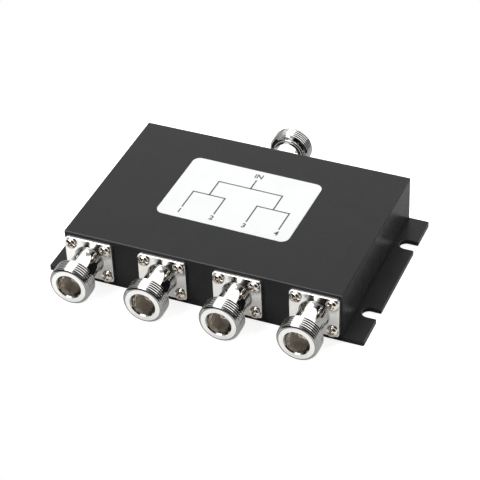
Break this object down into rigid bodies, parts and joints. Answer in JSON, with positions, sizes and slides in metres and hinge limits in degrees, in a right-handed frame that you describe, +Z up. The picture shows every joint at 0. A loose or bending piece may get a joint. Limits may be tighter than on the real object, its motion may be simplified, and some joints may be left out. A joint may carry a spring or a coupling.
{
  "type": "rf power splitter",
  "caption": "Flat black metal box that shares one radio signal among several sockets: threaded coaxial jacks on its front and back, on a base plate with slotted ears.",
  "frame": {"origin": "middle of the base plate's underside", "axes": "+Z up through the labelled top, -Y the side with the row of output jacks, +X along that row"},
  "size_m": [0.124, 0.1108, 0.0209],
  "materials": {
    "housing_paint": "satin black coat",
    "plate_paint": "satin black coat",
    "label_film": "white film",
    "substrate": "green board",
    "copper": "bare copper",
    "ceramic": "dark ceramic",
    "solder": "bright solder",
    "screw_steel": "plain steel",
    "screw_nickel": "bright nickel",
    "nickel": "bright nickel",
    "insulator": "white fluoropolymer",
    "contact_plating": "gold plate"
  },
  "bodies": {
    "root": {"housing": "housing_paint", "base_plate": "plate_paint", "label": "label_film", "circuit_board": "substrate", "microstrip": "copper", "isolation_resistors": "ceramic", "solder_joints": "solder", "board_screws": "screw_steel", "cover_screws": "screw_steel", "jack_shell_in": "nickel", "insulator_in": "insulator", "contact_in": "contact_plating", "flange_screws_in": "screw_nickel", "jack_shell_1": "nickel", "insulator_1": "insulator", "contact_1": "contact_plating", "flange_screws_1": "screw_nickel", "jack_shell_2": "nickel", "insulator_2": "insulator", "contact_2": "contact_plating", "flange_screws_2": "screw_nickel", "jack_shell_3": "nickel", "insulator_3": "insulator", "contact_3": "contact_plating", "flange_screws_3": "screw_nickel", "jack_shell_4": "nickel", "insulator_4": "insulator", "contact_4": "contact_plating", "flange_screws_4": "screw_nickel"}
  },
  "joints": []
}
